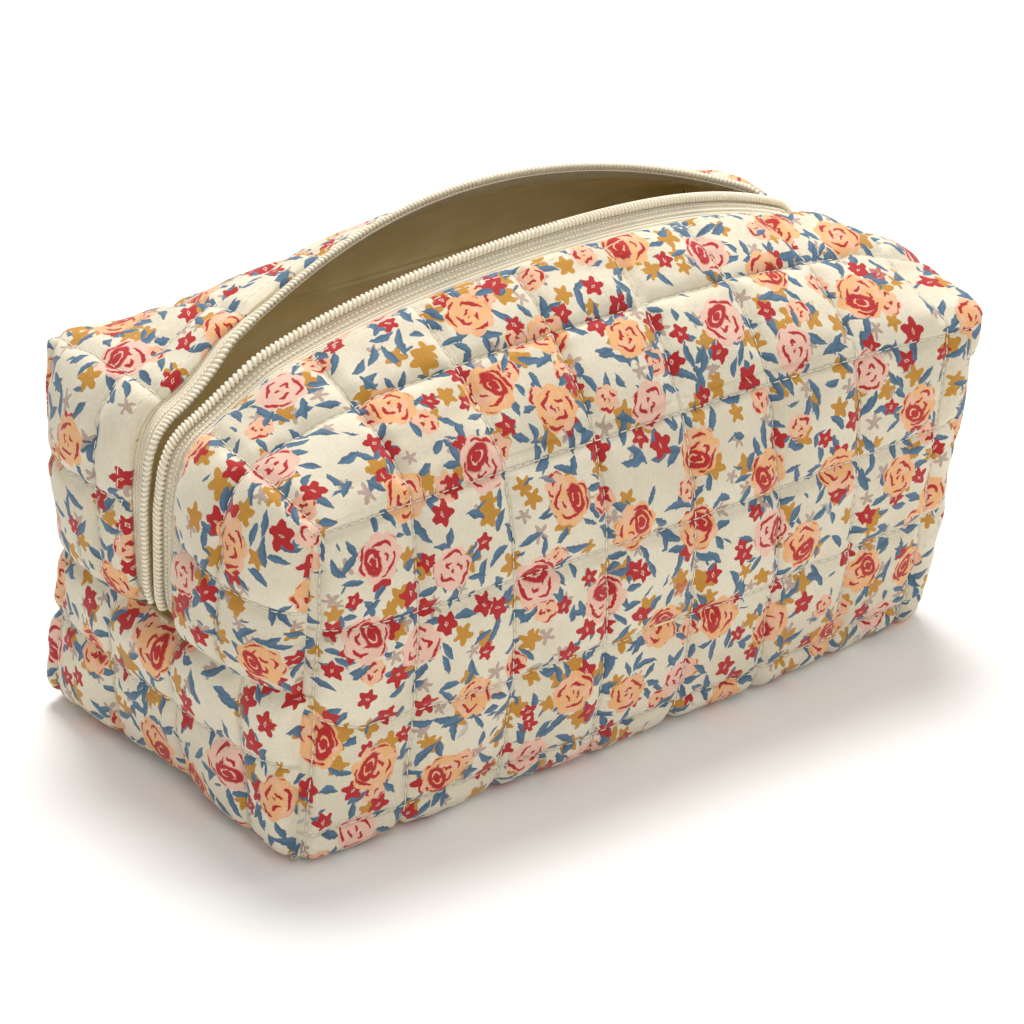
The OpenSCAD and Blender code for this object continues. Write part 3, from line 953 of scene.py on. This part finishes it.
def make_linings():
    depth = QUILT_T + LINING_GAP
    wrap = wrap_panel(3.0, relief=False)
    piece = shell("wall_and_base_lining", wrap.inner(depth), wrap.inner(depth + LINING_T), wrap.cloth, -1)
    finish_piece(piece, "lining", ["front_lining", "back_lining", "base_lining"])
    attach(piece, "bag")
    for side in SIDES:
        end = lower_end_panel(side, 3.0, relief=False)
        name = SIDES[side] + "_lower_end_lining"
        piece = shell(name, end.inner(depth), end.inner(depth + LINING_T), end.cloth, side)
        finish_piece(piece, "lining", [SIDES[side] + "_end_lining"])
        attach(piece, "bag")
        for face in FACES:
            top = top_panel(side, face, 2.0, relief=False, first=LINING_START, last=LINING_STOP)
            name = FACES[face] + "_" + SIDES[side] + "_top_lining"
            piece = shell(name, top.inner(depth), top.inner(depth + LINING_T), top.cloth, top.facing)
            finish_piece(piece, "lining", [FACES[face] + "_lip_lining"])
            follow_lip(piece)


def chain_frame(p, side_x, side_y, r=CHAIN_R, depth=CHAIN_DEPTH):
    """Centres, outward normals and directions across the zip, along one half of it."""
    spread = np.array([r - 2.0, r - 1.0, r])
    pp, rr = np.meshgrid(p, spread, indexing="ij")
    points = settle(top_surface(pp, rr, side_x, side_y))
    normal = grid_normals(points, -side_x * side_y)[:, -1]
    across = unit(points[:, -1] - points[:, 0])
    return points[:, -1] - normal * depth, normal, across


def make_tape(side_x, side_y):
    panel = top_panel(side_x, side_y, 1.1, relief=False, first=TAPE_R[0], last=TAPE_R[1])
    name = FACES[side_y] + "_" + SIDES[side_x] + "_tape"
    piece = shell(name, panel.inner(TAPE_DEPTH), panel.inner(TAPE_DEPTH + TAPE_T), panel.cloth, panel.facing)
    finish_piece(piece, "zip_tape", [FACES[side_y] + "_zip_tape", SIDES[side_x] + "_zip_tapes"])
    follow_lip(piece)


COIL_PITCH = 1.3
COIL_HALF_WIDTH, COIL_HALF_HEIGHT, WIRE_R = 1.15, 0.75, 0.5
CORD_R = 1.0
# Rows of sewing beside the coil: distance from the crease and radius of a bead
SEWING_ROWS = ((54.6, 0.42), (52.9, 0.3))


def make_coil(side_x, side_y):
    """One row of the nylon coil, wound round a cord, and the sewing that holds it to the tape."""
    name = FACES[side_y] + "_" + SIDES[side_x] + "_coil"
    per_turn = 14
    turns = int((PATH_END - 3) / COIL_PITCH)
    p = np.linspace(0, turns * COIL_PITCH, turns * per_turn + 1)
    centre, normal, across = chain_frame(p, side_x, side_y)
    phase = (2 * np.pi * p / COIL_PITCH + (math.pi if side_y > 0 else 0))[:, None]
    path = centre + COIL_HALF_WIDTH * np.cos(phase) * across + COIL_HALF_HEIGHT * np.sin(phase) * normal
    guide = np.cos(phase) * across + np.sin(phase) * normal
    piece = threads(name, path[None], guide[None], WIRE_R, ends=(1.0, 0.5), flatten=0.8)
    finish_piece(piece, "zip_coil", [FACES[side_y] + "_zip_coil", SIDES[side_x] + "_zip_coils"])
    follow_lip(piece)
    cord = threads(name + "_cord", centre[None, ::7], normal[None, ::7], CORD_R, 8, (1.0, 0.8), 0.7)
    finish_piece(cord, "zip_tape")
    follow_lip(cord)
    starts = np.arange(0.2, p[-1] - 1.2, COIL_PITCH)
    for number, (row, radius) in enumerate(SEWING_ROWS):
        stations = starts[:, None] + np.array([0.0, 0.25, 0.55, 0.85, 1.1])
        place, out, _ = chain_frame(stations.ravel(), side_x, side_y, r=row, depth=TAPE_DEPTH - 0.1)
        shape = stations.shape + (3,)
        beads = threads(name + "_sewing_%d" % (number + 1), place.reshape(shape), out.reshape(shape), radius)
        finish_piece(beads, "thread")
        follow_lip(beads)


def quilting_lines(first, pitch, low, high):
    k = math.ceil((low - first) / pitch)
    places = []
    while first + k * pitch < high:
        places.append(first + k * pitch)
        k += 1
    return places


STITCH, STITCH_GAP, THREAD_R = 2.7, 0.3, 0.17


def stitch_run(panel, fixed, axis, low, high, phase=0.0):
    """Centres and normals of the stitches of one straight seam on a panel."""
    start = np.arange(low + 0.6 + phase, high - STITCH - 0.3, STITCH + STITCH_GAP)
    along = start[:, None] + STITCH * np.linspace(0, 1, 5)[None, :]
    still = np.full_like(along, fixed)
    a, b = (still, along) if axis == 1 else (along, still)
    arch = np.array([-0.2, 0.02, 0.08, 0.02, -0.2])
    points, normals = panel.at(a, b)
    return points + normals * arch[None, :, None], normals


def make_stitches(name, panel, columns, rows, place):
    """All the quilting stitches on a panel. columns and rows are axis values."""
    axis_a, axis_b = panel.axes
    runs = [stitch_run(panel, c, 1, axis_b[0], axis_b[-1]) for c in columns]
    runs += [stitch_run(panel, r, 0, axis_a[0], axis_a[-1], 0.9) for r in rows]
    centres = np.concatenate([run[0] for run in runs])
    normals = np.concatenate([run[1] for run in runs])
    piece = threads(name, centres, normals, THREAD_R)
    finish_piece(piece, "thread")
    place(piece)


def wrap_stitches(panel):
    columns = quilting_lines(FIRST_LINE[0], SQUARE[0], -HALF_L, HALF_L)
    rows = [-v for v in quilting_lines(FIRST_LINE[1], SQUARE[1], -WRAP_LENGTH, 0)]
    make_stitches("wall_and_base_stitches", panel, columns, rows, lambda piece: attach(piece, "bag"))


def lower_end_stitches(panel, side):
    across = quilting_lines(FIRST_LINE[0], SQUARE[0], -HALF_L - SEAM_Z, HALF_L + SEAM_Z)
    rows = [abs(u) - HALF_L for u in across if side * u > HALF_L + 2]
    along = quilting_lines(FIRST_LINE[1], SQUARE[1], -CREASE_Z - DEPTH, -CREASE_Z)
    columns = [-v - CREASE_Z - HALF_D for v in along]
    name = SIDES[side] + "_lower_end_stitches"
    make_stitches(name, panel, columns, rows, lambda piece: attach(piece, "bag"))


def top_stitches(panel, side_x, side_y):
    lines = quilting_lines(FIRST_LINE[0], SQUARE[0], -PATH_END, PATH_END)
    columns = [abs(u) for u in lines if side_x * u > 2]
    first = (-WRAP_LENGTH - COTTON_R, -WRAP_LENGTH - 3) if side_y > 0 else (3, COTTON_R)
    rows = [v if side_y < 0 else -WRAP_LENGTH - v for v in quilting_lines(FIRST_LINE[1], SQUARE[1], *first)]
    rows.append(COTTON_R - 2.6)
    name = FACES[side_y] + "_" + SIDES[side_x] + "_top_stitches"
    make_stitches(name, panel, columns, rows, lambda piece: follow_lip(piece))


def dress_slider():
    for node in ("slider_body", "slider_bridge", "pull_tab"):
        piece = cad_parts[node]
        piece.data.materials.clear()
        piece.data.materials.append(MATERIALS["slider_metal"])


# ---------------------------------------------------------------------------
# Floor, light and camera
# ---------------------------------------------------------------------------
def make_floor():
    mesh = bpy.data.meshes.new("floor")
    mesh.from_pydata([(-8, -8, 0), (8, -8, 0), (8, 8, 0), (-8, 8, 0)], [], [(0, 1, 2, 3)])
    floor = bpy.data.objects.new("floor", mesh)
    bpy.context.scene.collection.objects.link(floor)
    mesh.materials.append(pale_floor())


def area_light(name, place, aim, size, power, colour=(1, 1, 1)):
    light = bpy.data.lights.new(name, "AREA")
    light.shape = "DISK"
    light.size, light.energy, light.color = size, power, colour
    lamp = bpy.data.objects.new(name, light)
    lamp.location = place
    lamp.rotation_euler = (Vector(aim) - Vector(place)).to_track_quat("-Z", "Y").to_euler()
    bpy.context.scene.collection.objects.link(lamp)


def make_light():
    world = bpy.data.worlds.new("soft room")
    world.use_nodes = True
    world.node_tree.nodes["Background"].inputs["Color"].default_value = (1, 0.99, 0.97, 1)
    world.node_tree.nodes["Background"].inputs["Strength"].default_value = 0.42
    bpy.context.scene.world = world
    area_light("key", (0.3, 0.5, 1.45), (0, 0, 0.05), 0.8, 24.5, (1, 0.99, 0.97))
    area_light("side", (1.3, -0.55, 0.75), (0, 0, 0.05), 0.5, 2.5, (1, 0.98, 0.95))
    area_light("fill", (-0.55, -1.25, 1.15), (0, 0, 0.1), 0.8, 7.0, (1, 0.97, 0.93))
    bpy.context.scene.view_settings.view_transform = "Standard"


def make_camera():
    lens = bpy.data.cameras.new("camera")
    lens.lens, lens.sensor_width = 144.0, 36.0
    lens.clip_start, lens.clip_end = 0.05, 50
    eye, aim = Vector((-0.6479, -0.8292, 0.5887)), Vector((0.01196, 0.01537, 0.03789))
    right = Vector((0.7928, -0.6093, 0.0155)).normalized()
    back = (eye - aim).normalized()
    up = back.cross(right).normalized()
    right = up.cross(back)
    camera = bpy.data.objects.new("camera", lens)
    camera.matrix_world = Matrix.Translation(eye) @ Matrix((right, up, back)).transposed().to_4x4()
    bpy.context.scene.collection.objects.link(camera)
    bpy.context.scene.camera = camera


make_camera()
make_floor()
make_light()
wrap_stitches(make_wrap())
for side in SIDES:
    lower_end_stitches(make_lower_end(side), side)
    for face in FACES:
        top_stitches(make_top(side, face), side, face)
        make_tape(side, face)
        make_coil(side, face)
make_linings()
dress_slider()
